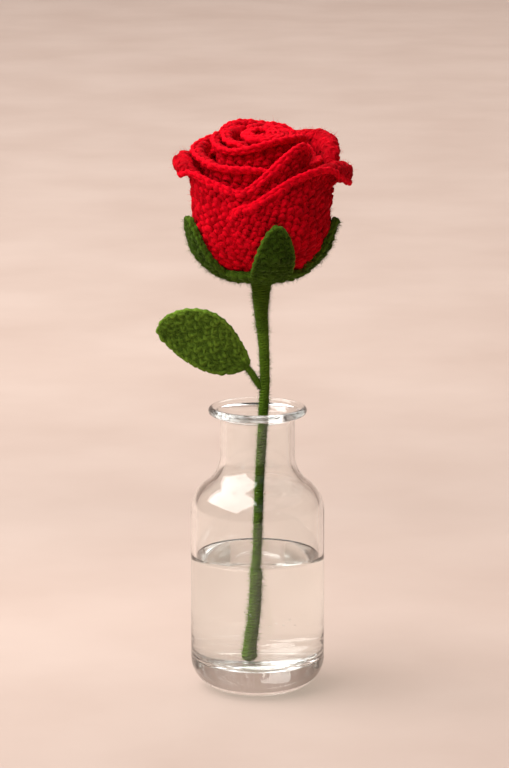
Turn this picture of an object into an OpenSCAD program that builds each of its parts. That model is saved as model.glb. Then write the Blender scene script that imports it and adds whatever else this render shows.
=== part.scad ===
// Glass bottle bud vase, part filled with water, holding one crocheted rose on a wired, yarn-wrapped stem.
// Millimetres. Origin: centre of the foot, on the surface it stands on. +Z is up, the front looks along -Y.

/* [Glass] */
// Outer radius of the bottle's body
body_r = 28.5; // [27.5:0.5:30]
// Height where the straight body ends and the shoulder begins
shoulder_z = 77; // [76:0.5:79]
// Radius of the shoulder's curve
shoulder_r = 16; // [15:0.5:17]
// Outer radius of the neck
neck_r = 15.8; // [15:0.1:16.5]
// Radius of the hollow curve between shoulder and neck
fillet_r = 14; // [13:0.5:15]
// Thickness of the glass wall
wall = 2.3; // [2:0.1:2.8]
// Outer curve from the wall to the foot
heel_r = 14; // [12:0.5:15]
// Height of the inside floor, which is the thickness of the base
floor_z = 12; // [10:0.5:13]
// Radius of the bead round the mouth
bead_r = 1.7; // [1.4:0.1:2]
// Height of the mouth
mouth_z = 122.5; // [119:0.5:124]
// Radius of the push-up under the foot
punt_r = 9.5; // [8:0.5:11]
// Depth of the push-up
punt_depth = 1.6; // [1:0.1:3]

/* [Water] */
// Height of the water's surface
water_z = 58.5; // [45:0.5:70]

/* [Stem] */
// Radius of the yarn-wrapped stem
stem_r = 2.1; // [1.8:0.1:2.4]
// Radius of the wire inside it
wire_r = 0.8; // [0.6:0.1:1]
// Radius of the ball where the wire bends under the head
bend_r = 2.7; // [2.5:0.1:2.9]

/* [Leaf] */
// Length of the leaf from base to tip
leaf_length = 40; // [36:1:42]
// How far the upper and the lower edge bow out from the midrib
leaf_bow = [16, 8]; // [7:0.5:16]
// Thickness of the crocheted leaf
leaf_thick = 2.6; // [2.2:0.1:3]
// Angle of the leaf above the horizontal
leaf_rise = 22; // [18:1:26]

/* [Flower] */
// Radius of the outermost petals
head_r = 29.6; // [29:0.1:30]
// Thickness of a crocheted petal
petal_thick = 2.4; // [2.2:0.1:2.4]
// Height of the bud, the flower's highest point
bud_z = 239.5; // [238:0.5:241]
// Height of the outermost petals' rims
rim_z = 225; // [223:0.5:227]
// Height of the sepals' tips
sepal_tip_z = 204; // [202:0.5:206]
// Width of a sepal
sepal_w = 19; // [17:0.5:20]

/* [Hidden] */
$fn = 96;

// glass: the centres of the curves that the profile is drawn with
shoulder_c = [body_r - shoulder_r, shoulder_z];
fillet_c = [neck_r + fillet_r,
    shoulder_z + sqrt(pow(shoulder_r + fillet_r, 2) - pow(neck_r + fillet_r - shoulder_c[0], 2))];
bead_out = 3.4;
bead_c = [neck_r + bead_out, mouth_z - bead_r];
flare_r = 3.5;
flare_c = [neck_r + flare_r,
    bead_c[1] - sqrt(pow(flare_r + bead_r, 2) - pow(neck_r + flare_r - bead_c[0], 2))];
corner_r = 8;
corner_c = [body_r - wall - corner_r, floor_z + corner_r];
punt_ball = (pow(punt_r, 2) + pow(punt_depth, 2)) / (2 * punt_depth);
water_gap = 0.1;

// stem: its bends in the XZ plane, from the foot to the ball under the head
tip_r = 2.4;
clearance = 0.3;
stem_route = [
    [-2.6, floor_z + clearance + tip_r], [-1, 35], [-0.2, 58], [0.6, 85],
    [2, 112], [3, 134], [2.6, 149], [1.5, 163]
];
bend = [1.5, 0, 163];
// how far a ball stands proud of the bars that meet in it
knuckle = 0.04;
head_x = bend[0];

// leaf: where its stalk leaves the stem, and the leaf's own base
leaf_pivot = [-0.9, 0, 134];
leaf_base = [-4.4, 0, 140];
leaf_wire_r = 0.45;
stalk_r = 1.2;

// flower: all its shells share one ring of centres, so they nest without touching
bowl_r = 6;
bowl_z = 203;
layers = 9;
layer_step = 2.6;
bud_r = head_r - layers * layer_step + 0.6;
// the innermost rim lies below the bud's top, and each rim below the one inside it
bud_rise = 3;
rim_drop = (bud_z - bud_rise - rim_z) / layers;
// the rolled bead along a petal's rim: how much it is thicker than the petal, and how far it leans out
bead_grow = 0.2;
bead_lean = 0.5;
// height of a petal's rounded top above its rim line
crown_rise = 4;
// which way each petal faces, from the innermost to the outermost, and how far round it goes
petal_azimuth = [150, -95, 30, 170, -70, 45, 150, -50, 60];
petal_spread = [150, 150, 150, 150, 150, 150, 150, 170, 150];
calyx_in = head_r - bowl_r + petal_thick / 2 + 0.2;
calyx_thick = 2.2;
calyx_out = calyx_in + calyx_thick;
cup_r = 15;
sepal_base_z = 186;
sepal_half_angle = 40;
binding_top = bowl_z - calyx_out;
binding_top_r = 4.4;
binding_base_z = bend[2] + 1.3;
// how far the head's wire runs up into the stuffing, and how far the stuffing starts above the cup's floor
wire_in_head = 22;
stuffing_lift = 3;

function layer_r(i) = head_r - (layers - i) * layer_step;
function layer_rim(i) = bud_z - bud_rise - i * rim_drop;

// a straight round rod from one point to another
module rod(a, b, r1, r2) {
    v = b - a;
    translate(a)
        rotate([0, acos(v[2] / norm(v)), atan2(v[1], v[0])])
            cylinder(h = norm(v), r1 = r1, r2 = r2);
}

// the stem's route as a round bar with ball joints at its bends
module bent_bar(r, end_r) {
    p = [for (q = stem_route) [q[0], 0, q[1]]];
    last = len(p) - 1;
    for (i = [0 : last - 1]) rod(p[i], p[i + 1], r, r);
    for (i = [1 : last - 1]) translate(p[i]) sphere(r + knuckle);
    translate(p[0]) sphere(end_r);
}

// ---------- glass ----------
module glass_outline() {
    square([body_r - heel_r, shoulder_z]);
    translate([body_r - heel_r, heel_r]) circle(heel_r);
    translate([0, heel_r]) square([body_r, shoulder_z - heel_r]);
    intersection() {
        translate(shoulder_c) circle(shoulder_r);
        square([body_r, mouth_z]);
    }
    difference() {
        polygon([[0, shoulder_z], shoulder_c, fillet_c, [0, fillet_c[1]]]);
        translate(fillet_c) circle(fillet_r);
    }
    translate([0, shoulder_z]) square([neck_r, flare_c[1] - shoulder_z]);
    difference() {
        translate([0, flare_c[1]]) square([flare_c[0], bead_c[1] - flare_c[1]]);
        translate(flare_c) circle(flare_r);
    }
    translate(bead_c) circle(bead_r);
}

// the hollow inside the glass; gap draws it in from the wall all round
module hollow_outline(gap) {
    inner_r = body_r - wall - gap;
    translate([0, floor_z + gap]) square([corner_c[0], shoulder_z - floor_z - gap]);
    translate([0, corner_c[1]]) square([inner_r, shoulder_z - corner_c[1]]);
    intersection() {
        translate(corner_c) circle(corner_r - gap);
        square([body_r, mouth_z]);
    }
    intersection() {
        translate(shoulder_c) circle(shoulder_r - wall - gap);
        square([body_r, mouth_z]);
    }
    difference() {
        polygon([[0, shoulder_z], shoulder_c, fillet_c, [0, fillet_c[1]]]);
        translate(fillet_c) circle(fillet_r + wall + gap);
    }
    translate([0, shoulder_z]) square([neck_r - wall - gap, flare_c[1] - shoulder_z]);
    difference() {
        translate([0, flare_c[1]]) square([bead_c[0], mouth_z + 1 - flare_c[1]]);
        translate(flare_c) circle(flare_r + wall + gap);
        translate(bead_c) circle(bead_r);
    }
}

module glass_vase() {
    color([0.88, 0.92, 0.9, 0.35]) rotate_extrude() difference() {
        glass_outline();
        hollow_outline(0);
        intersection() {
            translate([0, punt_depth - punt_ball]) circle(punt_ball);
            translate([0, -1]) square([punt_r + 1, punt_depth + 2]);
        }
    }
}

module water() {
    color([0.85, 0.92, 0.93, 0.4]) difference() {
        rotate_extrude() intersection() {
            hollow_outline(water_gap);
            square([body_r, water_z]);
        }
        bent_bar(stem_r + water_gap, tip_r + water_gap);
    }
}

// ---------- stem ----------
module stem_wire() {
    color("dimgray") bent_bar(wire_r, wire_r + knuckle);
}

module stem_wrap() {
    under = stem_route[len(stem_route) - 2];
    color([0.25, 0.33, 0.1]) difference() {
        union() {
            bent_bar(stem_r, tip_r);
            rod([under[0], 0, under[1]], bend, stem_r + knuckle, bend_r - knuckle);
            translate(bend) sphere(bend_r);
        }
        bent_bar(wire_r, wire_r + knuckle);
    }
}

// ---------- leaf ----------
// the leaf's outline in its own plane, tip along +X, starting just clear of the stalk's ball at the origin
module leaf_outline() {
    start = stalk_r + 2 * knuckle;
    half = (leaf_length - start) / 2;
    intersection_for(side = [0, 1]) {
        bow = leaf_bow[side];
        r = (half * half + bow * bow) / (2 * bow);
        translate([start + half, (side == 0 ? 1 : -1) * (bow - r)]) circle(r);
    }
}

module in_leaf_plane() {
    translate(leaf_base) rotate([0, 0, 180]) rotate([0, -leaf_rise, 0]) rotate([90, 0, 0]) children();
}

module leaf() {
    color([0.24, 0.32, 0.08]) difference() {
        in_leaf_plane() translate([0, 0, -leaf_thick / 2]) linear_extrude(leaf_thick) leaf_outline();
        in_leaf_plane() midrib();
    }
}

module leaf_wire_bar() {
    rod(leaf_pivot, leaf_base, leaf_wire_r, leaf_wire_r);
    translate(leaf_base) sphere(leaf_wire_r + knuckle);
    in_leaf_plane() midrib();
}

module midrib() {
    rotate([0, 90, 0]) cylinder(h = leaf_length * 0.8, r = leaf_wire_r);
}

module leaf_wire() {
    color("dimgray") leaf_wire_bar();
}

module leaf_stalk_wrap() {
    color([0.22, 0.3, 0.08]) difference() {
        union() {
            rod(leaf_pivot, leaf_base, stalk_r, stalk_r);
            translate(leaf_pivot) sphere(stalk_r + knuckle);
            translate(leaf_base) sphere(stalk_r + knuckle);
        }
        leaf_wire_bar();
    }
}

// ---------- flower ----------
// a shell of the flower in section: a bowl, then a straight wall up to z_top
module shell_outline(r_in, r_out, z_top) {
    intersection() {
        translate([bowl_r, bowl_z]) difference() {
            circle(r_out);
            circle(r_in);
        }
        translate([bowl_r, bowl_z - r_out - 1]) square([r_out + 1, r_out + 1]);
    }
    translate([bowl_r + r_in, bowl_z]) square([r_out - r_in, z_top - bowl_z]);
}

// turns its children so that azimuth 0 faces the front and +90 faces +X, about the flower's axis
module facing(azimuth) {
    translate([head_x, 0, 0]) rotate([0, 0, azimuth - 90]) children();
}

// a petal: part of one nested shell, rounded at its upper corners, with a beaded rim
module petal(i) {
    r = layer_r(i) - bowl_r;
    z = layer_rim(i);
    spread = petal_spread[i - 1];
    crown_r = 20 + layer_r(i) / 2;
    color([0.75, 0.02, 0.06]) facing(petal_azimuth[i - 1]) intersection() {
        rotate([0, 0, -spread / 2]) rotate_extrude(angle = spread) {
            shell_outline(r - petal_thick / 2, r + petal_thick / 2, z);
            translate([bowl_r + r + bead_lean, z]) circle(petal_thick / 2 + bead_grow);
        }
        translate([0, 0, z + crown_rise - crown_r]) rotate([0, 90, 0])
            cylinder(h = 2 * head_r, r = crown_r);
    }
}

// the lip that a petal rolls out over a radius r, where nothing holds it in
module petal_curl(i, azimuth, spread, r, reach, z) {
    color([0.75, 0.02, 0.06]) facing(azimuth) rotate([0, 0, -spread / 2]) rotate_extrude(angle = spread) {
        translate([reach, z]) circle(r);
        translate([layer_r(i), z + r - petal_thick]) square([reach - layer_r(i), petal_thick]);
    }
}

module outer_petal_1() {
    petal(7);
    petal_curl(7, 130, 40, 3, 32, 227.5);
}

module outer_petal_2() {
    petal(8);
    petal_curl(8, -92, 50, 4, 33.5, 223);
}

module outer_petal_3() {
    petal(9);
    petal_curl(9, 92, 50, 4, 34, 220);
}

module bud() {
    color([0.78, 0.03, 0.08]) translate([head_x, 0, 0]) {
        translate([0, 0, bud_z - bud_r]) sphere(bud_r);
        translate([0, 0, bowl_z + clearance]) cylinder(h = bud_z - bud_r - bowl_z - clearance, r = bud_r);
    }
}

module head_stuffing() {
    color("whitesmoke") translate([head_x, 0, 0]) difference() {
        translate([0, 0, binding_top + stuffing_lift])
            cylinder(h = bowl_z - binding_top - stuffing_lift, r = bowl_r - clearance);
        translate([0, 0, binding_top]) cylinder(h = wire_in_head, r = wire_r);
    }
}

module calyx_cup() {
    color([0.12, 0.17, 0.02]) translate([head_x, 0, 0]) rotate_extrude() difference() {
        union() {
            intersection() {
                shell_outline(calyx_in, calyx_out, sepal_tip_z);
                square([cup_r, bowl_z]);
            }
            translate([wire_r, binding_top]) square([bowl_r - wire_r, calyx_thick]);
        }
        square([wire_r, bowl_z]);
    }
}

// a sepal: the calyx's shell, from the cup's edge up, cut to a pointed outline
module sepal(azimuth) {
    tip_h = sepal_tip_z - sepal_base_z;
    side_r = (pow(tip_h, 2) + pow(sepal_w / 2, 2)) / sepal_w;
    color([0.13, 0.18, 0.02]) facing(azimuth) difference() {
        intersection() {
            rotate([0, 0, -sepal_half_angle]) rotate_extrude(angle = 2 * sepal_half_angle)
                shell_outline(calyx_in, calyx_out, sepal_tip_z + 1);
            for_both_sides() translate([0, side_r - sepal_w / 2, sepal_base_z]) rotate([0, 90, 0])
                cylinder(h = 2 * head_r, r = side_r);
        }
        translate([0, 0, binding_top - 1]) cylinder(h = bowl_z - binding_top, r = cup_r);
    }
}

// what lies inside both its child and its child's mirror image
module for_both_sides() {
    intersection() {
        children();
        mirror([0, 1, 0]) children();
    }
}

// the yarn wound thicker under the calyx, hollowed to swing on the ball of the stem
module neck_binding() {
    color([0.25, 0.33, 0.1]) translate([head_x, 0, 0]) difference() {
        translate([0, 0, binding_base_z])
            cylinder(h = binding_top - binding_base_z, r1 = bend_r + 2 * clearance, r2 = binding_top_r);
        translate([0, 0, bend[2]]) sphere(bend_r + clearance);
        translate([0, 0, bend[2]]) cylinder(h = bowl_z - bend[2], r = wire_r);
    }
}

module head_wire() {
    base_z = bend[2] + bend_r + clearance;
    color("dimgray") translate([head_x, 0, base_z])
        cylinder(h = binding_top + wire_in_head - base_z, r = wire_r);
}

glass_vase();
water();
stem_wire();
stem_wrap();
leaf();
leaf_wire();
leaf_stalk_wrap();
head_wire();
neck_binding();
calyx_cup();
sepal(12);  // sepal_front
sepal(102);  // sepal_right
sepal(192);  // sepal_back
sepal(-78);  // sepal_left
head_stuffing();
bud();
petal(1);  // inner_petal_1
petal(2);  // inner_petal_2
petal(3);  // inner_petal_3
petal(4);  // middle_petal_1
petal(5);  // middle_petal_2
petal(6);  // middle_petal_3
outer_petal_1();
outer_petal_2();
outer_petal_3();
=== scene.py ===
"""A glass bottle vase with water and one crocheted rose: its looks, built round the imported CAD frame.

Lengths here are millimetres in the row frame, +Z up, front along -Y, and become metres where a mesh is made.
Only the set, the lights and the materials are laid out in metres. Azimuths on the flower are degrees from the
front, positive towards +X.
"""
import math

import bpy
import numpy as np
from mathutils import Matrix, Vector


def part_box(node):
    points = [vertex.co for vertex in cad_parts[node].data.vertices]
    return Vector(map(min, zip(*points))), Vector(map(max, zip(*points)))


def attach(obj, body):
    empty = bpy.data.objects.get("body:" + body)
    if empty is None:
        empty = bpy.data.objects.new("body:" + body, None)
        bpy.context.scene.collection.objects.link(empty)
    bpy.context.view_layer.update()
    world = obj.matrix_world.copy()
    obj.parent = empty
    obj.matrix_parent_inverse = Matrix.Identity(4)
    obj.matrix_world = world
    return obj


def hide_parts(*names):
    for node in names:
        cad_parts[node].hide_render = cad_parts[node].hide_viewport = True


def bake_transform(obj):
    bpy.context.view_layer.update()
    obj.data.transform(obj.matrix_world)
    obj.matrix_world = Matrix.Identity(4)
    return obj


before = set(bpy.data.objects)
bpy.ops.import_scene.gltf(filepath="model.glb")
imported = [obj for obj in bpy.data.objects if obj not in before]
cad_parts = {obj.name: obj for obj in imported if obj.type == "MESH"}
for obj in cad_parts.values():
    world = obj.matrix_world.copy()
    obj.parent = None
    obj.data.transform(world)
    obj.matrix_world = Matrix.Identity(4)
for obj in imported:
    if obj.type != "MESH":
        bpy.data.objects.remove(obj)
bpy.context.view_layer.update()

MM = 0.001
RNG = np.random.default_rng(11)


def box_mm(node):
    """Lowest and highest corner of a CAD node, in millimetres."""
    low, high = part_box(node)
    return np.array(low) / MM, np.array(high) / MM


# ---------- driving dimensions, from the frame ----------
WATER_LOW, WATER_HIGH = box_mm("water")
BUD_LOW, BUD_HIGH = box_mm("bud")
HEAD_X = (BUD_LOW[0] + BUD_HIGH[0]) / 2
BUD_TOP = BUD_HIGH[2]
STEM_END_Z = box_mm("stem_wrap")[0][2]

# ---------- the yarn ----------
YARN_R = 1.27
PLY_PITCH = 3.4
STITCH_W = 4.7
ROW_H = 2.45
FIBRE_R = 0.05
FIBRE_CURL = 0.55


# ---------- geometry helpers ----------
def unit(v):
    return v / np.maximum(np.linalg.norm(v, axis=-1, keepdims=True), 1e-9)


def curve_through(points, at):
    """A smooth curve through points whose first number is the place along it, read at the places given."""
    p = np.array(points, float)
    x, y = p[:, 0], p[:, 1:]
    slope = np.gradient(y, x, axis=0)
    at = np.clip(np.asarray(at, float), x[0], x[-1])
    i = np.clip(np.searchsorted(x, at) - 1, 0, len(x) - 2)
    h = (x[i + 1] - x[i])[:, None]
    t = ((at - x[i])[:, None]) / h
    value = (
        (2 * t**3 - 3 * t**2 + 1) * y[i]
        + (t**3 - 2 * t**2 + t) * h * slope[i]
        + (3 * t**2 - 2 * t**3) * y[i + 1]
        + (t**3 - t**2) * h * slope[i + 1]
    )
    return value[:, 0] if value.shape[1] == 1 else value


def even_steps(line, count):
    """The same line as count points at equal distances along it."""
    s = np.r_[0, np.cumsum(np.linalg.norm(np.diff(line, axis=0), axis=1))]
    at = np.linspace(0, s[-1], count)
    return np.stack([np.interp(at, s, line[:, k]) for k in range(line.shape[1])], axis=1)


def sample(grid, a, b):
    """A grid's vectors at row share a and column share b."""
    rows, cols = grid.shape[0] - 1, grid.shape[1] - 1
    a = np.clip(a, 0, 1) * rows
    b = np.clip(b, 0, 1) * cols
    i = np.minimum(a.astype(int), rows - 1)
    j = np.minimum(b.astype(int), cols - 1)
    fa, fb = (a - i)[:, None], (b - j)[:, None]
    low = grid[i, j] * (1 - fb) + grid[i, j + 1] * fb
    high = grid[i + 1, j] * (1 - fb) + grid[i + 1, j + 1] * fb
    return low * (1 - fa) + high * fa


def bands(index):
    """Quads that join each closed ring of point numbers to the next ring."""
    following = np.roll(index, -1, axis=1)
    return np.stack([index[:-1], following[:-1], following[1:], index[1:]], axis=-1).reshape(-1, 4)


def new_object(name, points, faces, material):
    """A smooth object in one material, from points in metres."""
    mesh = bpy.data.meshes.new(name)
    mesh.from_pydata(points, [], faces)
    mesh.shade_smooth()
    mesh.materials.append(material)
    made = bpy.data.objects.new(name, mesh)
    bpy.context.scene.collection.objects.link(made)
    return made


class Mesh:
    """Collects tubes, slabs and fibres into one mesh, with what the yarn's material reads."""

    def __init__(self):
        self.points, self.faces, self.yarn, self.tone = [], [], [], []
        self.count = 0

    def add(self, points, faces, yarn, tone):
        self.points.append(points)
        self.faces.extend((np.asarray(f) + self.count).tolist() for f in faces)
        self.yarn.append(yarn)
        self.tone.append(np.broadcast_to(tone, len(points)))
        self.count += len(points)

    def tube(self, centre, radius, up, sides=8, tone=1.0, start=0.0):
        """A closed round strand along centre. up is a direction that is never along it."""
        n = len(centre)
        radius = np.broadcast_to(radius, n)
        tangent = unit(np.gradient(centre, axis=0))
        side = unit(np.cross(tangent, up))
        out = np.cross(side, tangent)
        a = np.linspace(0, 2 * math.pi, sides, endpoint=False)
        c, s = np.cos(a)[None, :, None], np.sin(a)[None, :, None]
        ring = centre[:, None] + radius[:, None, None] * (c * side[:, None] + s * out[:, None])
        length = start + np.r_[0, np.cumsum(np.linalg.norm(np.diff(centre, axis=0), axis=1))]
        yarn = np.zeros((n, sides, 3))
        yarn[:, :, 0], yarn[:, :, 1] = np.cos(a), np.sin(a)
        yarn[:, :, 2] = length[:, None]
        k = np.arange(sides)
        i = np.arange(n - 1)[:, None] * sides
        nxt = (k + 1) % sides
        quads = np.stack([i + k, i + sides + k, i + sides + nxt, i + nxt], axis=-1).reshape(-1, 4)
        ends = [k.tolist(), (k[::-1] + (n - 1) * sides).tolist()]
        tones = np.repeat(np.broadcast_to(tone, n), sides)
        self.add(ring.reshape(-1, 3), list(quads) + ends, yarn.reshape(-1, 3), tones)
        return length[-1]

    # The cloth's low tone is painted shade where it shows between the stitches.
    def slab(self, grid, normal, thickness, tone=0.62):
        """The solid cloth behind the stitches: the grid, thickened to both sides and closed."""
        rows, cols = grid.shape[:2]
        offset = normal * (thickness / 2)
        points = np.concatenate([(grid + offset).reshape(-1, 3), (grid - offset).reshape(-1, 3)])
        index = np.arange(rows * cols).reshape(rows, cols)
        corners = [index[:-1, :-1], index[:-1, 1:], index[1:, 1:], index[1:, :-1]]
        quad = np.stack(corners, axis=-1).reshape(-1, 4)
        back = quad[:, ::-1] + rows * cols
        loop = np.r_[index[0], index[1:, -1], index[-1, -2::-1], index[-2:0:-1, 0]]
        after = np.roll(loop, -1)
        wall = np.stack([loop, loop + rows * cols, after + rows * cols, after], axis=-1)
        yarn = np.tile([1.0, 0.0, 0.0], (len(points), 1))
        self.add(points, list(quad) + list(back) + list(wall), yarn, tone)

    def fuzz(self, root, direction, length, radius=FIBRE_R):
        """Loose fibres: thin three-sided hairs that curl away from their roots."""
        n = len(root)
        bend = unit(RNG.normal(size=(n, 3)))
        frames = unit(np.cross(direction, bend))
        other = np.cross(direction, frames)
        steps = np.array([0.0, 0.5, 1.0])
        width = np.array([1.0, 0.8, 0.15]) * radius
        points = np.zeros((n, 3, 3, 3))
        for i, (t, w) in enumerate(zip(steps, width)):
            centre = root + length[:, None] * (t * direction + FIBRE_CURL * t * t * bend)
            for j in range(3):
                a = 2 * math.pi * j / 3
                points[:, i, j] = centre + w * (math.cos(a) * frames + math.sin(a) * other)
        base = (np.arange(n) * 9)[:, None]
        faces = []
        for i in range(2):
            for j in range(3):
                k = (j + 1) % 3
                quad = np.array([i * 3 + j, i * 3 + k, i * 3 + 3 + k, i * 3 + 3 + j])
                faces.append(base + quad)
        quads = np.concatenate(faces)
        ends = np.concatenate([base + np.array([2, 1, 0]), base + np.array([6, 7, 8])])
        yarn = np.tile([1.0, 0.0, 0.0], (n * 9, 1))
        self.add(points.reshape(-1, 3), list(quads) + list(ends), yarn, 1.0)

    def build(self, name, material, body=None):
        piece = new_object(name, (np.concatenate(self.points) * MM).tolist(), self.faces, material)
        for key, kind, field, values in (
            ("yarn", "FLOAT_VECTOR", "vector", self.yarn),
            ("tone", "FLOAT", "value", self.tone),
        ):
            layer = piece.data.attributes.new(key, kind, "POINT")
            layer.data.foreach_set(field, np.concatenate(values).astype(np.float32).ravel())
        if body:
            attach(piece, body)
        return piece


# ---------- crochet ----------
def normals(grid):
    return unit(np.cross(np.gradient(grid, axis=1), np.gradient(grid, axis=0)))


# Points that read a row's width, and points along each stitch
WIDTH_STEPS, STITCH_STEPS = 40, 10
# Points along a worked edge: up a side, and across the top or bottom
SIDE_STEPS, END_STEPS = 90, 150


def strand_row(mesh, grid, normal, row, rows, radius, stitch_w, tone):
    """One row of stitches: a yarn that zigzags across the cloth and bulges where it meets the next row's."""
    at = np.full(WIDTH_STEPS, (row + 0.5) / rows)
    line = sample(grid, at, np.linspace(0, 1, WIDTH_STEPS))
    width = np.linalg.norm(np.diff(line, axis=0), axis=1).sum()
    if width < stitch_w * 0.8:
        return
    stitches = max(1, round(width / stitch_w))
    bends = 2 * stitches + 1
    shift = math.pi * (row % 2) + RNG.uniform(-0.6, 0.6)
    t = np.linspace(0, 2 * math.pi * stitches, STITCH_STEPS * stitches + 1)
    place = t / math.pi
    jitter = np.array([np.interp(place, np.arange(bends), RNG.normal(size=bends)) for _ in range(4)])
    across = (t + 0.8 * jitter[0]) / (2 * math.pi * stitches)
    across = np.clip(across, 0.12 / stitches, 1 - 0.12 / stitches)
    up = (row + 0.5 + 0.5 * np.cos(t + shift) * (1 + 0.2 * jitter[1]) + 0.14 * jitter[3]) / rows
    p = sample(grid, up, across)
    n = unit(sample(normal, up, across))
    bulge = 0.5 + 0.5 * np.cos(t + shift)
    depth = radius * (0.05 + 0.55 * bulge + 0.22 * jitter[2])
    # Painted shade: the yarn's tone drops where it dips between its bulges.
    mesh.tube(
        p + n * depth[:, None], radius * (0.84 + 0.32 * bulge + 0.1 * jitter[1]), n, sides=6,
        tone=tone * (0.8 + 0.2 * bulge), start=RNG.uniform(0, 9))


def crochet(grid, rows, yarn_r=YARN_R, stitch_w=STITCH_W, cloth=1.0, hairs=1200, hair_len=1.3,
            edge=("top", "sides"), both_sides=False, painted_middle_shade=1.0):
    """A crocheted sheet over a grid of points: cloth, rows of stitches, a worked edge and loose fibres.

    The stitches stand out on the side that its normals point to, or on both. Its last argument is painted
    shade: it darkens them against the worked edge."""
    mesh = Mesh()
    normal = normals(grid)
    mesh.slab(grid[::2, ::2], normal[::2, ::2], cloth)
    for row in range(rows):
        tone = painted_middle_shade * RNG.uniform(0.9, 1.0)
        strand_row(mesh, grid, normal, row, rows, yarn_r, stitch_w, tone)
        if both_sides:
            strand_row(mesh, grid, -normal, row, rows, yarn_r, stitch_w, tone)
    up, across = edge_route(edge)
    line = even_steps(np.hstack([sample(grid, up, across), sample(normal, up, across)]), len(up))
    worked_edge(mesh, line[:, :3], unit(line[:, 3:]), yarn_r, stitch_w)
    add_fuzz(mesh, grid, normal, hairs, hair_len, yarn_r)
    return mesh


def edge_route(edge):
    """The row and column shares along a sheet's worked edges, in order round it."""
    route = []
    if "sides" in edge:
        route.append((np.linspace(0, 1, SIDE_STEPS), np.zeros(SIDE_STEPS)))
    if "top" in edge:
        route.append((np.ones(END_STEPS), np.linspace(0, 1, END_STEPS)))
    if "sides" in edge:
        route.append((np.linspace(1, 0, SIDE_STEPS), np.ones(SIDE_STEPS)))
    if "bottom" in edge:
        route.append((np.zeros(END_STEPS), np.linspace(1, 0, END_STEPS)))
    return [np.concatenate(shares) for shares in zip(*route)]


def worked_edge(mesh, line, normal, yarn_r, stitch_w):
    """A chain of stitches along an edge: a yarn on each side of the cloth that bulges twice a stitch."""
    length = np.linalg.norm(np.diff(line, axis=0), axis=1).sum()
    count = max(int(length / 0.5), 8)
    both = even_steps(np.hstack([line, normal]), count)
    p, n = both[:, :3], unit(both[:, 3:])
    s = np.linspace(0, length, count)
    tangent = unit(np.gradient(p, axis=0))
    outward = np.cross(n, tangent)
    for side in (-1, 1):
        swing = np.sin(2 * math.pi * s / stitch_w + (0 if side > 0 else math.pi / 2))
        centre = p + n * (side * 0.55 * yarn_r) + outward * (0.22 * yarn_r * swing)[:, None]
        radius = yarn_r * (0.82 + 0.12 * np.cos(4 * math.pi * s / stitch_w))
        mesh.tube(centre, radius, n, sides=8, tone=1.0, start=RNG.uniform(0, 9))


def add_fuzz(mesh, grid, normal, hairs, hair_len, lift):
    """Loose fibres all over a sheet, three in four of them on the side that its normals point to."""
    a, b = RNG.uniform(0, 1, hairs), RNG.uniform(0, 1, hairs)
    side = np.where(RNG.uniform(size=hairs) < 0.75, 1.0, -1.0)[:, None]
    n = unit(sample(normal, a, b)) * side
    root = sample(grid, a, b) + n * lift
    direction = unit(n * RNG.uniform(0.2, 1.0, (hairs, 1)) + RNG.normal(size=(hairs, 3)) * 0.6)
    mesh.fuzz(root, direction, hair_len * RNG.uniform(0.4, 1.3, hairs))


# ---------- the flower's petals ----------
BOWL_R = 6.0
BOWL_Z = BUD_LOW[2] - 0.3


def head_points(azimuth, r, z):
    """Points on the flower at an azimuth in degrees, a distance from its axis and a height."""
    a = np.radians(azimuth)
    return np.stack([HEAD_X + r * np.sin(a), -r * np.cos(a), z + 0 * r], axis=-1)


def petal_profile(wall_r, rim_z, flare, lip, turn, fall):
    """A petal in section as (r, z): up the bowl and the wall, then over its rolled lip."""
    q = wall_r - BOWL_R
    lip_z = rim_z - lip
    top = math.asin(np.clip((lip_z - BOWL_Z) / q, -0.97, 0))
    theta = np.linspace(math.radians(-80), top, 24)
    r, z = [BOWL_R + q * np.cos(theta)], [BOWL_Z + q * np.sin(theta)]
    if lip_z > BOWL_Z:
        up = np.linspace(BOWL_Z, lip_z, 22)[1:]
        share = (up - BOWL_Z) / (lip_z - BOWL_Z)
        r.append(wall_r + flare * share**2)
        z.append(up)
    end_r, end_z = r[-1][-1], z[-1][-1]
    beta = np.radians(np.linspace(0, turn, 16)[1:])
    r.append(end_r + lip * (1 - np.cos(beta)))
    z.append(end_z + lip * np.sin(beta))
    if fall > 0.1:
        down = np.linspace(0, fall, 5)[1:]
        r.append(r[-1][-1] - 0.25 * down)
        z.append(z[-1][-1] - down)
    return np.stack([np.concatenate(r), np.concatenate(z)], axis=1)


def petal_grid(shape, nu=110, nv=80):
    """A petal's surface, from the base up and from its left edge to its right."""
    low, high = shape["rim"][0][0], shape["rim"][-1][0]
    azimuth = np.linspace(low, high, nu)
    read = {k: curve_through(shape[k], azimuth) for k in ("rim", "wall", "flare", "lip", "turn", "fall")}
    grid = np.zeros((nv, nu, 3))
    seed = shape["seed"]
    for j, a in enumerate(azimuth):
        line = petal_profile(*(read[k][j] for k in ("wall", "rim", "flare", "lip", "turn", "fall")))
        line = even_steps(line, nv)
        height = np.linspace(0, 1, nv)
        ruffle = (
            0.5 * height**2 * math.sin(a * 0.11 + seed)
            + 0.35 * height * np.sin(a * 0.05 + 5 * height + seed))
        grid[:, j] = head_points(a, line[:, 0] + ruffle, line[:, 1])
    return grid


def petal_shape(seed, rim, wall, flare, lip, turn, fall=0):
    """One petal. Each list has (azimuth, value) pairs; a plain number holds all round."""
    low, high = rim[0][0], rim[-1][0]
    full = {"rim": rim, "wall": wall, "flare": flare, "lip": lip, "turn": turn, "fall": fall}
    for key, value in full.items():
        if not isinstance(value, list):
            full[key] = [(low, value), (high, value)]
    return {"seed": seed, **full}


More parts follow.
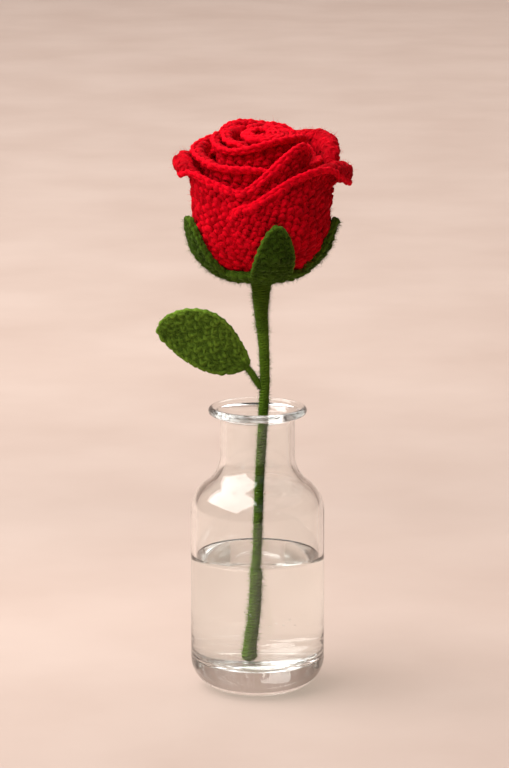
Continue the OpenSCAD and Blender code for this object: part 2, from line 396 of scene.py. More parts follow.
PETALS = {
    "inner_petal_1": petal_shape(
        0.4, [(70, 231), (95, 236.5), (130, 239.0), (170, 240.2), (205, 239.4), (230, 233)],
        9.4, 0.8, 1.5, 150),
    "inner_petal_2": petal_shape(
        1.7, [(-175, 231), (-150, 239), (-120, 239.2), (-85, 238), (-55, 236.6), (-30, 235), (-12, 230)],
        11.4, 1.2, 1.5, 150),
    "inner_petal_3": petal_shape(
        2.9, [(-138, 228), (-122, 236), (-98, 237), (-76, 235.2), (-56, 233.6), (-38, 233.4), (-20, 234.6),
              (5, 236.8), (35, 238.4), (65, 238), (95, 236), (118, 229)],
        13.6, [(-138, 2.4), (-90, 4.0), (-60, 3.6), (-20, 2.4), (118, 1.2)], 1.5, 130),
    "middle_petal_1": petal_shape(
        4.1,
        [(90, 226), (112, 231.6), (132, 234.6), (150, 238.6), (180, 240.4), (208, 241), (228, 238.6),
         (250, 230)],
        16.6, 1.6, 1.8, 140),
    "middle_petal_2": petal_shape(
        5.3,
        [(-152, 227), (-136, 234.6), (-115, 234.6), (-98, 233.2), (-82, 231.6), (-66, 229.8), (-50, 228.4),
         (-30, 227.6), (-8, 227.2), (8, 225.8), (22, 221)],
        20.2, [(-152, 1.8), (-95, 4.0), (-60, 3.2), (-20, 1.4), (22, 1.0)],
        [(-152, 1.5), (-90, 2.1), (22, 1.5)], 140),
    "middle_petal_3": petal_shape(
        6.6, [(2, 214), (20, 221), (45, 226), (70, 228), (95, 227.6), (120, 219)],
        21.0, 0.8, 1.5, 130),
    "outer_petal_1": petal_shape(
        7.2,
        [(75, 210), (84, 223), (95, 230), (108, 234.6), (122, 237), (140, 236.8), (160, 235.4), (185, 234.4),
         (205, 231), (217, 224), (225, 212)],
        24.2, [(75, 1), (100, 3.0), (130, 2.8), (225, 1)],
        [(75, 1.3), (92, 2.6), (110, 3.5), (140, 3.3), (170, 2.4), (225, 1.3)],
        [(75, 80), (92, 200), (110, 235), (150, 220), (200, 170), (225, 90)]),
    "outer_petal_2": petal_shape(
        8.5,
        [(-138, 212), (-130, 222), (-118, 227.4), (-104, 229.3), (-90, 229.9), (-76, 227.6), (-62, 224.2),
         (-46, 221.2), (-30, 218.6), (-17, 217.4), (-4, 221.4), (7, 225.8), (17, 229.8), (27, 233.2),
         (36, 235.4), (43, 236), (49, 233)],
        [(-138, 26.4), (-90, 27.2), (-30, 27.2), (-5, 25.4), (34, 23.8), (49, 23.0)],
        [(-138, 0.6), (-118, 1.8), (-90, 2.2), (-66, 1.0), (-40, 0.8), (49, 0.8)],
        [(-138, 1.2), (-118, 2.6), (-95, 3.5), (-80, 3.1), (-62, 1.6), (-45, 1.3), (49, 1.2)],
        [(-138, 90), (-118, 220), (-95, 250), (-80, 235), (-62, 140), (-45, 100), (49, 100)]),
    "outer_petal_3": petal_shape(
        9.8,
        [(-40, 190), (-32, 203), (-24, 208.8), (-7, 212.6), (9, 217.8), (27, 223.2), (45, 226.4), (62, 227.6),
         (80, 227.2), (98, 225.4), (115, 221), (128, 212), (138, 198)],
        [(-40, 24.6), (-28, 25.8), (-16, 27.1), (0, 27.8), (60, 27.6), (138, 27.2)],
        [(-40, 0), (0, 0.6), (40, 1.2), (90, 2.6), (138, 0.6)],
        [(-40, 1.2), (27, 1.4), (50, 2.0), (72, 3.1), (95, 3.5), (112, 3.0), (138, 1.4)],
        [(-40, 70), (27, 100), (50, 140), (72, 200), (95, 215), (112, 215), (138, 90)],
        [(-40, 0), (60, 0), (78, 2.2), (95, 2.6), (108, 0.4), (116, 0), (138, 0)]),
}


def make_petals(material):
    for name, shape in PETALS.items():
        grid = petal_grid(shape)
        rows = round(mean_length(grid, 0) / ROW_H)
        outer = name.startswith("outer")
        # Painted shade: the outer petals' stitched middles are darker than their edges.
        mesh = crochet(
            grid, rows, hairs=6400 if outer else 4200, hair_len=1.6, painted_middle_shade=0.84 if outer else 0.94)
        piece = mesh.build(name + "_crochet", material, "flower")
        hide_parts(name)


def mean_length(grid, axis):
    """How long a grid is on average along an axis."""
    step = np.linalg.norm(np.diff(grid, axis=axis), axis=2)
    return step.sum(axis=axis).mean()


def make_bud(material):
    """The centre: one long strip of crochet rolled up, its inner turns lower than the outer."""
    azimuth = np.linspace(-40, 860, 260)
    share = np.linspace(0, 1, len(azimuth))
    r = 1.7 + 5.2 * share
    rim = BUD_TOP - 0.6 - 1.1 * np.cos(np.radians(azimuth)) - 0.6 * share
    height = np.linspace(0, 1, 60)[:, None]
    z = BUD_LOW[2] + (rim - BUD_LOW[2]) * height - 2.4 * np.clip(height - 0.93, 0, 1)
    radius = r + 1.5 * height**8
    grid = head_points(azimuth + 0 * height, radius, z)
    mesh = crochet(grid, rows=16, hairs=2200)
    piece = mesh.build("bud_roll", material, "flower")
    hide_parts("bud")


# ---------- the calyx ----------
CALYX_R = 24.9
# Each sepal's azimuth, the angle of its tip on the bowl, and its distance from the bowl's centre circle
SEPALS = {
    "sepal_front": (12, 2.0, 24.8),
    "sepal_right": (86, -1.0, 24.0),
    "sepal_back": (192, 2.0, 23.2),
    "sepal_left": (-69, 4.0, 25.2),
}
SEPAL_HALF_WIDTHS = [(0, 5.5), (0.28, 7.8), (0.45, 8.0), (0.6, 7.6), (0.76, 6.2), (0.9, 4.1), (1, 1.5)]
GREEN_YARN_R = 1.08


def calyx_grid():
    """The calyx: the bottom of the bowl, drawn in to the stem, with a rim in seven shallow waves."""
    theta = np.radians(np.linspace(-87, -57, 24))[:, None]
    azimuth = np.linspace(-180, 180, 120)[None, :]
    draw_in = 0.45 * np.clip((-theta - math.radians(76)) / math.radians(11), 0, 1)
    waves = 0.5 * np.sin(np.radians(azimuth * 7)) * (theta > -1.1)
    r = (BOWL_R + CALYX_R * np.cos(theta)) * (1 - draw_in) + waves
    z = BOWL_Z + CALYX_R * np.sin(theta) + 0 * azimuth
    return head_points(azimuth + 0 * r, r, z)


def make_calyx(material):
    mesh = crochet(
        calyx_grid(), rows=6, yarn_r=GREEN_YARN_R, stitch_w=3.8, cloth=1.2, hairs=3000, hair_len=1.9,
        edge=("top",))
    piece = mesh.build("calyx_crochet", material, "flower")
    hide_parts("calyx_cup")


def make_sepals(material):
    for name, (azimuth, top, radius) in SEPALS.items():
        # Painted shade: the sepals' stitched middles are darker than their edges.
        mesh = crochet(
            sepal_grid(azimuth, top, radius), rows=15, yarn_r=GREEN_YARN_R, stitch_w=4.2, cloth=0.8,
            hairs=2400, hair_len=1.8, edge=("sides", "top"), both_sides=True, painted_middle_shade=0.74)
        piece = mesh.build(name + "_crochet", material, "flower")
        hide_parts(name)


def sepal_grid(azimuth, top, radius, nu=50, nv=70):
    """A sepal: a blunt pointed strip that lies against the bowl of petals and leans away at its tip."""
    along = np.linspace(0, 1, nv)
    theta = np.radians(-78 + (78 + top) * along)
    r = BOWL_R + radius * np.cos(theta) + 1.2 * np.clip(along - 0.75, 0, 1) ** 2 * 16
    z = BOWL_Z + radius * np.sin(theta)
    half = curve_through(SEPAL_HALF_WIDTHS, along)
    u = np.linspace(-1, 1, nu)
    cup = 1 - u**2
    grid = np.zeros((nv, nu, 3))
    for i in range(nv):
        turn = np.degrees(half[i] * u / r[i])
        fade = math.sin(math.pi * min(along[i] * 1.1, 1)) * 0.8
        grid[i] = head_points(azimuth + turn, r[i] + cup * fade, np.full(nu, z[i]))
    return grid


# ---------- the stem and its leaf ----------
STEM_TIP_R = 2.35
# (x, height) of the stem's middle, and (height, radius) of its yarn
STEM_ROUTE = [(-2.6, STEM_END_Z + 0.2), (-2.55, 16), (-1, 35), (-0.2, 58), (0.6, 85), (2, 112), (3, 134),
              (2.6, 149), (1.5, 163), (1.4, 176.5)]
NECK_Z = 155.0
STEM_WIDTHS = [(STEM_END_Z, 2.0), (STEM_END_Z + 1.6, 2.3), (20, 2.2), (110, 2.1), (137, 2.2), (149, 2.35),
               (156, 2.6), (164, 3.1), (169, 3.7), (176.5, 4.6)]
WIND_R = 0.72
WIND_PITCH = 3.4
STRANDS = 3


def wound(mesh, line, radius, pitch=WIND_PITCH, yarn_r=WIND_R, start_turn=0.0, hairs_per_mm=60, hair_len=1.5,
          tone=1.0):
    """Yarn wound round a bar: the bar's core and helical yarns laid side by side, with loose fibres."""
    sideways = np.array([0.0, 1.0, 0.0])
    length = np.linalg.norm(np.diff(line, axis=0), axis=1).sum()
    count = int(length / pitch * 18)
    both = even_steps(np.hstack([line, radius[:, None]]), count)
    p, r = both[:, :3], both[:, 3]
    tangent = unit(np.gradient(p, axis=0))
    across = unit(np.cross(sideways, tangent))
    s = np.r_[0, np.cumsum(np.linalg.norm(np.diff(p, axis=0), axis=1))]
    turn = start_turn + 2 * math.pi * (s / pitch + 0.03 * np.sin(s * 0.9))
    # The core's low tone is painted shade between the wound yarns.
    mesh.tube(p[::6], r[::6] - yarn_r * 0.7, across[::6], sides=12, tone=0.5)
    for strand in range(STRANDS):
        a = turn + 2 * math.pi * strand / STRANDS
        out = np.cos(a)[:, None] * across + np.sin(a)[:, None] * sideways
        width = yarn_r * (1 + 0.12 * np.sin(s * 2.3 + 2 * strand) * np.sin(s * 0.7 + strand))
        mesh.tube(p + out * (r - yarn_r)[:, None], width, out, sides=6, tone=tone * RNG.uniform(0.88, 1.0))
    hairs = int(length * hairs_per_mm)
    i = RNG.integers(0, count, hairs)
    a = RNG.uniform(0, 2 * math.pi, hairs)
    away = np.cos(a)[:, None] * across[i] + np.sin(a)[:, None] * sideways
    lean = unit(away * RNG.uniform(0.1, 1.0, (hairs, 1)) + RNG.normal(size=(hairs, 3)) * 0.6)
    mesh.fuzz(p[i] + away * (r[i] * 0.96)[:, None], lean, hair_len * RNG.uniform(0.3, 1.1, hairs))
    return turn[-1]


def stem_line(low, high):
    """The stem's middle between two heights, and its radius there."""
    z = np.linspace(low, high, int((high - low) * 2))
    x = curve_through([(b, a) for a, b in STEM_ROUTE], z)
    width = curve_through(STEM_WIDTHS, z)
    return np.stack([x, 0 * z, z], axis=1), width


def make_stem(material):
    """The stem's yarn, rounded off at its end, and the neck's, which carries on its turns and bends."""
    line, width = stem_line(STEM_END_Z + 0.2, NECK_Z)
    end = np.clip((line[:, 2] - STEM_END_Z) / STEM_TIP_R, 0.06, 1)
    width = width * np.sqrt(np.clip(1 - (1 - end) ** 2, 0.05, 1))
    mesh = Mesh()
    turn = wound(mesh, line, np.maximum(width, 0.7))
    piece = mesh.build("stem_yarn", material, "stem")
    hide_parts("stem_wrap")
    line, width = stem_line(NECK_Z - 0.4, STEM_ROUTE[-1][1])
    mesh = Mesh()
    # The neck's lower tone is painted shade: the flower head's shadow on it.
    wound(mesh, line, width, start_turn=turn, hairs_per_mm=90, hair_len=1.8, tone=0.78)
    neck = mesh.build("neck_yarn", material)
    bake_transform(neck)
    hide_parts("neck_binding")


LEAF_PIVOT = np.array([-0.9, 0, 134.0])
LEAF_BASE = np.array([-4.4, 0, 140.0])
STALK_ROOT = np.array([1.5, 0, 130.6])
LEAF_LENGTH = 40.5
LEAF_RISE = math.radians(23)
# (share of the length, distance from the midrib)
LEAF_UPPER = [(0, 1.6), (0.06, 4.4), (0.17, 8.1), (0.36, 13.2), (0.55, 15.1), (0.74, 13.3), (0.89, 9.4),
              (0.97, 5.4), (1, 2.6)]
LEAF_LOWER = [(0, 0.8), (0.08, 4.0), (0.19, 6.6), (0.35, 8.2), (0.52, 8.0), (0.7, 6.6), (0.86, 4.4),
              (0.96, 2.4), (1, 1.2)]
LEAF_CUP, LEAF_CUP_WIDTH = 1.6, 12
STALK_TIP = LEAF_BASE + [-2.6, 0, 2.2]
STALK_ROOT_R, STALK_TIP_R = 1.45, 1.4


def leaf_grid(nu=90, nv=60):
    """The leaf, cupped across and arched along, from its upper edge to its lower and from base to tip."""
    t = np.linspace(0, 1, nu)
    upper, lower = curve_through(LEAF_UPPER, t), curve_through(LEAF_LOWER, t)
    forward = np.array([-math.cos(LEAF_RISE), 0, math.sin(LEAF_RISE)])
    above = np.array([math.sin(LEAF_RISE), 0, math.cos(LEAF_RISE)])
    grid = np.zeros((nv, nu, 3))
    for i, v in enumerate(np.linspace(0, 1, nv)):
        reach = -lower + v * (upper + lower)
        cup = -LEAF_CUP * (reach / LEAF_CUP_WIDTH) ** 2 * np.sin(math.pi * t)
        arch = 3 * (t - 0.4) ** 2 - 0.24
        ripple = 0.15 * np.sin(9 * t + 2 * v)
        grid[i] = (
            LEAF_BASE + t[:, None] * LEAF_LENGTH * forward + reach[:, None] * above
            + (cup + arch + ripple)[:, None] * np.array([0, 1.0, 0]))
    return grid[::-1]


def make_leaf(material):
    mesh = crochet(
        leaf_grid(), rows=11, yarn_r=0.9, stitch_w=4.2, cloth=1.7, hairs=8600, hair_len=1.7,
        edge=("sides", "top", "bottom"), both_sides=True)
    piece = mesh.build("leaf_crochet", material, "leaf")
    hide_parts("leaf")


def make_leaf_stalk(material):
    """The yarn round the leaf's stalk, which bends between stem and leaf."""
    middle = (LEAF_BASE + LEAF_PIVOT) / 2
    line = even_steps(np.array([STALK_ROOT, LEAF_PIVOT, middle, STALK_TIP]), 60)
    mesh = Mesh()
    wound(mesh, line, np.linspace(STALK_ROOT_R, STALK_TIP_R, len(line)), pitch=2.4, yarn_r=0.5)
    stalk = mesh.build("leaf_stalk_yarn", material)
    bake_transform(stalk)
    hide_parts("leaf_stalk_wrap")


def make_stuffing(material):
    """The plug of filling inside the petals: a lumpy ball of fluff."""
    low, high = box_mm("head_stuffing")
    centre, half = (low + high) / 2, (high - low) / 2
    a = np.linspace(0, 2 * math.pi, 48, endpoint=False)[None, :]
    b = np.linspace(-math.pi / 2, math.pi / 2, 26)[:, None]
    swell = 0.9 + 0.06 * np.sin(3 * a + 4 * b) + 0.04 * np.sin(7 * a - 5 * b)
    flat = np.abs(np.cos(b)) ** 0.4
    ball = np.stack([flat * np.cos(a) * swell, flat * np.sin(a) * swell, np.sin(b) + 0 * a], axis=-1)
    points = (ball * half + centre).reshape(-1, 3)
    index = np.arange(len(points)).reshape(ball.shape[:2])
    ends = [index[0, ::-1].tolist(), index[-1].tolist()]
    mesh = Mesh()
    mesh.add(points, list(bands(index)) + ends, np.tile([1.0, 0, 0], (len(points), 1)), 1.0)
    piece = mesh.build("stuffing_fluff", material, "flower")
    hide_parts("head_stuffing")


# ---------- materials ----------
def new_material(name):
    material = bpy.data.materials.new(name)
    material.use_nodes = True
    tree = material.node_tree
    return material, tree, tree.nodes["Principled BSDF"]


def add_node(tree, kind, values=None, links=None, **settings):
    """A node with settings, plain input values by name or place, and links into its inputs."""
    node = tree.nodes.new(kind)
    for key, value in settings.items():
        setattr(node, key, value)
    for key, value in (values or {}).items():
        node.inputs[key].default_value = value
    for key, socket in (links or {}).items():
        tree.links.new(socket, node.inputs[key])
    return node


def math_node(tree, operation, a, b=None):
    """One Math node; a and b are sockets or numbers."""
    node = tree.nodes.new("ShaderNodeMath")
    node.operation = operation
    for place, value in enumerate((a, b)):
        if value is None:
            continue
        if isinstance(value, (int, float)):
            node.inputs[place].default_value = value
        else:
            tree.links.new(value, node.inputs[place])
    return node.outputs[0]


def object_place(tree):
    """Where a point lies on its own object, in metres."""
    return add_node(tree, "ShaderNodeTexCoord").outputs["Object"]


def noise_node(tree, scale, detail, place):
    node = add_node(tree, "ShaderNodeTexNoise", {"Scale": scale, "Detail": detail}, {"Vector": place})
    return node.outputs["Fac"]


def noise_shade(tree, noise, strength):
    """A noise's swing to both sides of its middle, times a strength."""
    return math_node(tree, "MULTIPLY", math_node(tree, "SUBTRACT", noise, 0.5), strength)


def ramp_node(tree, factor, low, high, more=()):
    """A colour ramp's output. low, high and more are (place, red, green, blue)."""
    node = add_node(tree, "ShaderNodeValToRGB", links={"Fac": factor})
    elements = node.color_ramp.elements
    for element, (place, *colour) in zip(elements, (low, high)):
        element.position = place
        element.color = (*colour, 1)
    for place, *colour in more:
        elements.new(place).color = (*colour, 1)
    return node.outputs["Color"]


def add_relief(tree, shader, height, strength, distance):
    bump = add_node(tree, "ShaderNodeBump", {"Strength": strength, "Distance": distance}, {"Height": height})
    tree.links.new(bump.outputs["Normal"], shader.inputs["Normal"])


def vary_roughness(tree, shader, factor, low, high):
    rough = add_node(tree, "ShaderNodeMapRange", {"To Min": low, "To Max": high}, {"Value": factor})
    tree.links.new(rough.outputs["Result"], shader.inputs["Roughness"])


PLIES = 3.0
FIBRE_SCALE, PATCH_SCALE = 2600.0, 160.0
# PLY_SHADE is painted shade in the grooves between the twisted plies; the fibre and patch shades vary at
# random.
YARN_TONE, PLY_SHADE, FIBRE_SHADE, PATCH_SHADE = 0.88, 0.09, 0.5, 0.6
# Heights in metres where the lower stem's painted light is full and where it has faded out
PAINTED_LIGHT_Z, NO_PAINTED_LIGHT_Z = 0.05, 0.135


def yarn_material(name, light, dark, sheen, sheen_tint, low_painted_light=0.0):
    """Spun yarn: twisted plies and fibres in relief, with painted shade in the hollows between stitches and
    plies, and a soft nap.

    Its last argument is painted light: it lightens the yarn's colour towards the bottom, where the stem is
    seen paler."""
    material, tree, shader = new_material(name)
    yarn = add_node(tree, "ShaderNodeAttribute", attribute_name="yarn")
    tone = add_node(tree, "ShaderNodeAttribute", attribute_name="tone")
    place = object_place(tree)
    parts = add_node(tree, "ShaderNodeSeparateXYZ", links={0: yarn.outputs["Vector"]})
    angle = math_node(tree, "ARCTAN2", parts.outputs["Y"], parts.outputs["X"])
    twist = math_node(tree, "MULTIPLY", parts.outputs["Z"], 2 * math.pi / PLY_PITCH)
    ply = math_node(tree, "SINE", math_node(tree, "ADD", math_node(tree, "MULTIPLY", angle, PLIES), twist))
    fibres = noise_node(tree, FIBRE_SCALE, 3.0, place)
    patches = noise_node(tree, PATCH_SCALE, 2.0, place)
    plies = math_node(tree, "ADD", math_node(tree, "MULTIPLY", ply, PLY_SHADE), YARN_TONE)
    # The tone attribute is painted shade in the stitches' hollows, with tone that varies at random.
    shade = math_node(tree, "MULTIPLY", tone.outputs["Fac"], plies)
    shade = math_node(tree, "ADD", shade, noise_shade(tree, fibres, FIBRE_SHADE))
    shade = math_node(tree, "ADD", shade, noise_shade(tree, patches, PATCH_SHADE))
    colour = ramp_node(tree, shade, (0.25, *dark), (0.95, *light))
    height = add_node(tree, "ShaderNodeSeparateXYZ", links={0: place})
    painted_light = add_node(
        tree, "ShaderNodeMapRange",
        {"From Min": NO_PAINTED_LIGHT_Z, "From Max": PAINTED_LIGHT_Z, "To Min": 1.0, "To Max": 1.0 + low_painted_light},
        {"Value": height.outputs["Z"]})
    tinted = add_node(
        tree, "ShaderNodeVectorMath", operation="SCALE", links={0: colour, "Scale": painted_light.outputs[0]})
    tree.links.new(tinted.outputs["Vector"], shader.inputs["Base Color"])
    relief = math_node(tree, "ADD", math_node(tree, "MULTIPLY", ply, 0.5), fibres)
    add_relief(tree, shader, relief, 0.7, 0.00022)
    vary_roughness(tree, shader, fibres, 0.78, 0.95)
    shader.inputs["Sheen Weight"].default_value = sheen
    shader.inputs["Sheen Roughness"].default_value = 0.5
    shader.inputs["Sheen Tint"].default_value = (*sheen_tint, 1)
    shader.inputs["Specular IOR Level"].default_value = 0.04
    return material


GREEN_NAP = (0.6, 0.9, 0.25)


def red_yarn():
    return yarn_material("red_yarn", (0.8, 0.0008, 0.013), (0.12, 0.0002, 0.001), 0.12, (1.0, 0.03, 0.06))


def stem_green_yarn():
    # The stem's yarn is given painted light towards the bottom.
    return yarn_material(
        "stem_green_yarn", (0.105, 0.2, 0.014), (0.014, 0.034, 0.002), 0.14, GREEN_NAP, low_painted_light=1.1)


def leaf_green_yarn():
    return yarn_material("leaf_green_yarn", (0.15, 0.26, 0.026), (0.008, 0.022, 0.001), 0.16, GREEN_NAP)


def sepal_green_yarn():
    return yarn_material("sepal_green_yarn", (0.056, 0.115, 0.008), (0.005, 0.013, 0.0005), 0.16, GREEN_NAP)


def white_fluff():
    return yarn_material("white_fluff", (0.85, 0.84, 0.8), (0.5, 0.49, 0.46), 0.3, (1, 1, 1))


# The share of straight light that glass and water let through to the shadow
SHADOW_LIGHT = 0.94


def glass_material(name, tint, ior, wave_scale, wave_height):
    """A clear solid with faint waves in its surface, which lets light straight through to its shadow."""
    material, tree, shader = new_material(name)
    wave = noise_node(tree, wave_scale, 1.0, object_place(tree))
    add_relief(tree, shader, wave, 1.0, wave_height)
    clear = add_node(tree, "ShaderNodeBsdfTransparent", {"Color": (*(SHADOW_LIGHT * np.array(tint)), 1)})
    path = add_node(tree, "ShaderNodeLightPath")
    mixed = add_node(
        tree, "ShaderNodeMixShader",
        links={0: path.outputs["Is Shadow Ray"], 1: shader.outputs["BSDF"], 2: clear.outputs["BSDF"]})
    tree.links.new(mixed.outputs[0], tree.nodes["Material Output"].inputs["Surface"])
    shader.inputs["Base Color"].default_value = (*tint, 1)
    shader.inputs["Transmission Weight"].default_value = 1.0
    shader.inputs["Roughness"].default_value = 0.0
    shader.inputs["IOR"].default_value = ior
    return material


def clear_glass():
    return glass_material("clear_glass", (0.985, 0.995, 0.985), 1.5, 45.0, 0.00002)


def clear_water():
    return glass_material("clear_water", (0.985, 0.995, 0.995), 1.333, 60.0, 0.000004)


def air_bubble():
    """A bubble's skin, which bends light as water does: a stand-in for air inside water."""
    return glass_material("air_bubble", (1.0, 1.0, 1.0), 1.333, 45.0, 0.0)


def florist_wire():
    """Drawn steel with fine lengthwise marks."""
    material, tree, shader = new_material("florist_wire")
    stretch = add_node(tree, "ShaderNodeMapping", {"Scale": (2000, 2000, 60)}, {"Vector": object_place(tree)})
    marks = noise_node(tree, 1.0, 2.0, stretch.outputs[0])
    vary_roughness(tree, shader, marks, 0.3, 0.55)
    colour = ramp_node(tree, marks, (0.0, 0.16, 0.17, 0.17), (1.0, 0.36, 0.37, 0.37))
    tree.links.new(colour, shader.inputs["Base Color"])
    shader.inputs["Metallic"].default_value = 1.0
    return material


FLOOR_DARK, FLOOR_LIGHT = (0.54, 0.42, 0.363), (0.6, 0.482, 0.424)
# The floor's painted shade from front to back: where it starts and ends, and (metres behind the vase, tone)
# between
SHADE_FRONT, SHADE_BACK = -1.0, 3.0
SHADE_STOPS = [(-0.1, 0.9), (0.12, 1.0), (0.32, 0.87), (0.7, 0.97)]


def floor_paper():
    """Pale matt paper with soft clouds, and painted shade that changes gently from front to back."""
    material, tree, shader = new_material("paper_sweep")
    place = object_place(tree)
    clouds = ramp_node(tree, noise_node(tree, 9.0, 7.0, place), (0.3, *FLOOR_DARK), (0.7, *FLOOR_LIGHT))
    axes = add_node(tree, "ShaderNodeSeparateXYZ", links={0: place})
    depth = add_node(
        tree, "ShaderNodeMapRange", {"From Min": SHADE_FRONT, "From Max": SHADE_BACK},
        {"Value": axes.outputs["Y"]})
    stops = [
        ((y - SHADE_FRONT) / (SHADE_BACK - SHADE_FRONT), tone, tone * 0.985, tone * 0.975)
        for y, tone in SHADE_STOPS]
    shade = ramp_node(tree, depth.outputs["Result"], (0.0, 0.95, 0.95, 0.95), (1.0, 0.86, 0.86, 0.86), stops)
    both = add_node(tree, "ShaderNodeVectorMath", operation="MULTIPLY", links={0: clouds, 1: shade})
    tree.links.new(both.outputs["Vector"], shader.inputs["Base Color"])
    shader.inputs["Roughness"].default_value = 0.9
    return material


# ---------- glass and water ----------
def paint(name, material):
    """Gives a CAD node its material, and returns its mesh."""
    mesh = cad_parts[name].data
    mesh.materials.clear()
    mesh.materials.append(material)
    return mesh


def make_glass(material):
    paint("glass_vase", material).shade_smooth()


def make_wires(material):
    for name in ("stem_wire", "head_wire", "leaf_wire"):
        paint(name, material)


# The CAD water's gap to the glass, and how far the water shown runs into it
WATER_GAP, SKIN = 0.1, 0.05
WATER_CORNER_R = 8.0
WATER_CLIMB, CLIMB_FADE, CLIMB_REACH = 0.35, 0.9, 6


def lathe(name, profile, material, body, steps=160, centre=(0.0, 0.0)):
    """A closed round solid from its outline, given from the axis at the bottom to the axis at the top."""
    profile = np.array(profile, float)
    ring = profile[1:-1]
    a = np.linspace(0, 2 * math.pi, steps, endpoint=False)
    p = np.stack([ring[:, :1] * np.cos(a), ring[:, :1] * np.sin(a), ring[:, 1:] + 0 * a], axis=-1)
    n = len(ring)
    points = np.concatenate([p.reshape(-1, 3), [[0, 0, profile[0, 1]], [0, 0, profile[-1, 1]]]])
    points[:, :2] += centre
    index = np.arange(n * steps).reshape(n, steps)
    low, high = n * steps, n * steps + 1
    fans = [[low, int(b), int(c)] for c, b in zip(index[0], np.roll(index[0], -1))]
    fans += [[high, int(c), int(b)] for c, b in zip(index[-1], np.roll(index[-1], -1))]
    piece = new_object(name, (points * MM).tolist(), bands(index).tolist() + fans, material)
    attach(piece, body)
    return piece


def make_water(material):
    """The water: it fills the glass to its skin, and climbs a little up the wall at its edge."""
    r = WATER_HIGH[0] + WATER_GAP + SKIN
    floor = WATER_LOW[2] - WATER_GAP - SKIN
    top = WATER_HIGH[2]
    corner = WATER_CORNER_R
    turn = np.linspace(-math.pi / 2, 0, 18)
    outline = [(0, floor), (r * 0.3, floor)]
    outline += [(r - corner + corner * math.cos(a), floor + corner + corner * math.sin(a)) for a in turn]
    outline += [(r, z) for z in np.linspace(floor + corner + 3, top - 2, 10)]
    outline.append((r, top + WATER_CLIMB))
    for d in np.linspace(0.15, CLIMB_REACH, 16):
        outline.append((r - SKIN - d, top + WATER_CLIMB * math.exp(-d / CLIMB_FADE)))
    outline += [(r * share, top) for share in (0.6, 0.4, 0.2, 0.08)]
    outline.append((0, top))
    piece = lathe("water_fill", outline, material, "water")
    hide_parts("water")


BUBBLES = [(4.0, -3.0, 29.0), (6.2, -4.0, 30.4), (8.0, 2.0, 28.2), (10.4, -1.0, 31.2), (12.6, -5.0, 29.4),
           (15.0, 3.0, 31.6), (16.8, -2.0, 28.8), (-3.6, -2.4, 31.4), (-2.4, -2.7, 33.6), (-4.0, -2.0, 35.0)]
BUBBLE_R_LOW, BUBBLE_R_HIGH = 0.28, 0.5


def make_bubbles(material):
    """A few small clear balls by the stem and out in the water, as air bubbles."""
    ring = np.linspace(-math.pi / 2, math.pi / 2, 9)
    for k, (x, y, z) in enumerate(BUBBLES):
        r = RNG.uniform(BUBBLE_R_LOW, BUBBLE_R_HIGH)
        outline = [(r * max(math.cos(a), 0.0), z + r * math.sin(a)) for a in ring]
        piece = lathe(f"bubble_{k + 1}", outline, material, "water", steps=16, centre=(x, y))


# ---------- the set ----------
FLOOR_REACH, COVE_R, WALL_TOP = 3.4, 0.7, 2.8
FLOOR_STEPS, COVE_STEPS = 96, 12


def make_set(material):
    """A pale round floor that sweeps up into a pale wall all round, out of the camera's way."""
    cove = np.linspace(0, math.pi / 2, COVE_STEPS)
    line = [(0.02, 0.0), (1.2, 0.0)]
    line += [(FLOOR_REACH + COVE_R * math.sin(a), COVE_R - COVE_R * math.cos(a)) for a in cove]
    line.append((FLOOR_REACH + COVE_R, WALL_TOP))
    turns = np.linspace(0, 2 * math.pi, FLOOR_STEPS, endpoint=False)
    points = [(r * math.cos(a), r * math.sin(a), z) for r, z in line for a in turns] + [(0.0, 0.0, 0.0)]
    index = np.arange(len(line) * FLOOR_STEPS).reshape(len(line), FLOOR_STEPS)
    middle = len(points) - 1
    fan = [[middle, int(b), int(a)] for a, b in zip(index[0], np.roll(index[0], -1))]
    floor = new_object("paper_sweep", points, bands(index).tolist() + fan, material)


def area_light(name, place, look_at, size, power, colour):
    data = bpy.data.lights.new(name, "AREA")
    data.shape = "RECTANGLE"
    data.size, data.size_y = size
    data.energy = power
    data.color = colour
    light = bpy.data.objects.new(name, data)
    light.location = place
    direction = Vector(look_at) - light.location
    light.rotation_euler = direction.to_track_quat("-Z", "Y").to_euler()
    bpy.context.scene.collection.objects.link(light)
    return light


WARM_WHITE = (1.0, 0.97, 0.94)
PANEL_Z, PANEL_SIZE = 2.3, (3.0, 2.2)
# Each overhead panel's place in x and y, and its power
PANELS = {"back": (0, 2.4, 62), "right": (2.6, 0, 6), "front": (0, -2.6, 5), "left": (-2.6, 0, 10)}


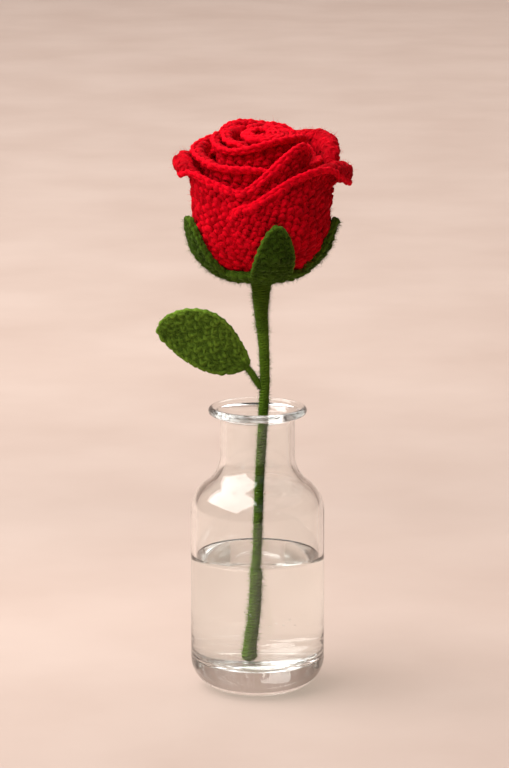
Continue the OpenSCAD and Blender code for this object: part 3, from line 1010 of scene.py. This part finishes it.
def make_lights():
    """A window above and to the left, a strong panel behind, three weak ones round about and a faint room."""
    area_light(
        "window", place=(-1.02, -0.26, 1.5), look_at=(0, 0, 0.15), size=(2.6, 1.8), power=67,
        colour=WARM_WHITE)
    for name, (x, y, power) in PANELS.items():
        area_light(name, (x, y, PANEL_Z), (x, y, 0), PANEL_SIZE, power, WARM_WHITE)
    world = bpy.data.worlds.new("room")
    world.use_nodes = True
    background = world.node_tree.nodes["Background"]
    background.inputs["Color"].default_value = (0.95, 0.88, 0.82, 1)
    background.inputs["Strength"].default_value = 0.09
    bpy.context.scene.world = world


def set_light_paths():
    """Plain colours, and enough bounces for light to cross glass and water several times."""
    bpy.context.scene.view_settings.view_transform = "Standard"
    cycles = bpy.context.scene.cycles
    cycles.caustics_refractive = False
    cycles.max_bounces = 32
    cycles.transparent_max_bounces = 32
    cycles.glossy_bounces = 24
    cycles.transmission_bounces = 24


# The camera's place, and the height on the vase's axis that it looks at
CAMERA_DISTANCE, CAMERA_HEIGHT, CAMERA_X = 1600, 463, -1.3
AIM_Z = 132.1
LONG_SIDE_FOV = math.radians(11.34)


def make_camera():
    data = bpy.data.cameras.new("camera")
    data.sensor_width = 36
    data.lens = data.sensor_width / 2 / math.tan(LONG_SIDE_FOV / 2)
    data.clip_end = 20
    camera = bpy.data.objects.new("camera", data)
    camera.location = (CAMERA_X * MM, -CAMERA_DISTANCE * MM, CAMERA_HEIGHT * MM)
    pitch = math.atan2(CAMERA_HEIGHT - AIM_Z, CAMERA_DISTANCE)
    camera.rotation_euler = (math.pi / 2 - pitch, 0, 0)
    bpy.context.scene.collection.objects.link(camera)
    bpy.context.scene.camera = camera


def main():
    make_camera()
    make_lights()
    set_light_paths()
    make_set(floor_paper())
    red, stem_green, sepal_green = red_yarn(), stem_green_yarn(), sepal_green_yarn()
    make_petals(red)
    make_bud(red)
    make_calyx(sepal_green)
    make_sepals(sepal_green)
    make_stem(stem_green)
    make_leaf(leaf_green_yarn())
    make_leaf_stalk(stem_green)
    make_stuffing(white_fluff())
    make_glass(clear_glass())
    make_water(clear_water())
    make_bubbles(air_bubble())
    make_wires(florist_wire())


main()
